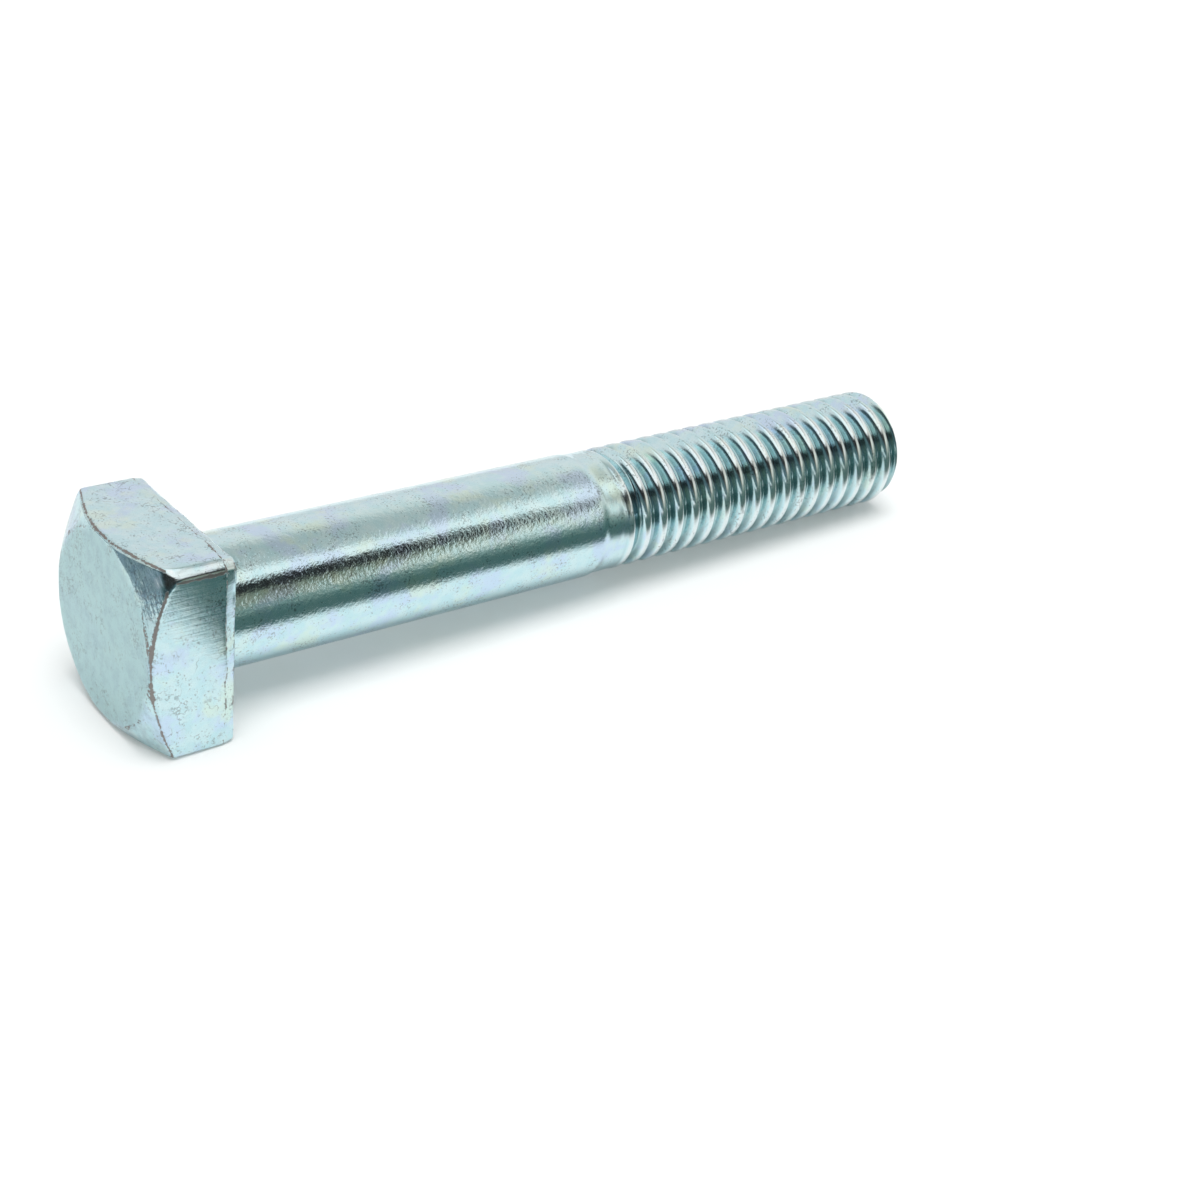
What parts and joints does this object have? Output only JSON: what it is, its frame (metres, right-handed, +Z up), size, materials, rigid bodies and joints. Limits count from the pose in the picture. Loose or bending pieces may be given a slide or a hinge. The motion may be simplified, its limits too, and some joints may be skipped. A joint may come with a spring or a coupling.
{
  "type": "square head bolt",
  "caption": "Square head bolt with a chamfered crown, a plain round shank and a coarse right-hand thread, lying on its side.",
  "frame": {"origin": "centre of the bearing face under the head, on the bolt's axis", "axes": "+Z up from the surface that the bolt lies on; +X from the head towards the threaded end, with the bolt's axis sloping 2.02 degrees down to that end; +Y across the bolt"},
  "size_m": [0.07, 0.0138, 0.014],
  "materials": {
    "zinc_plated_steel": "clear blue zinc plate over forged and rolled steel, satin with a faint orange peel"
  },
  "bodies": {
    "root": {"square_head_bolt": "zinc_plated_steel"}
  },
  "joints": []
}
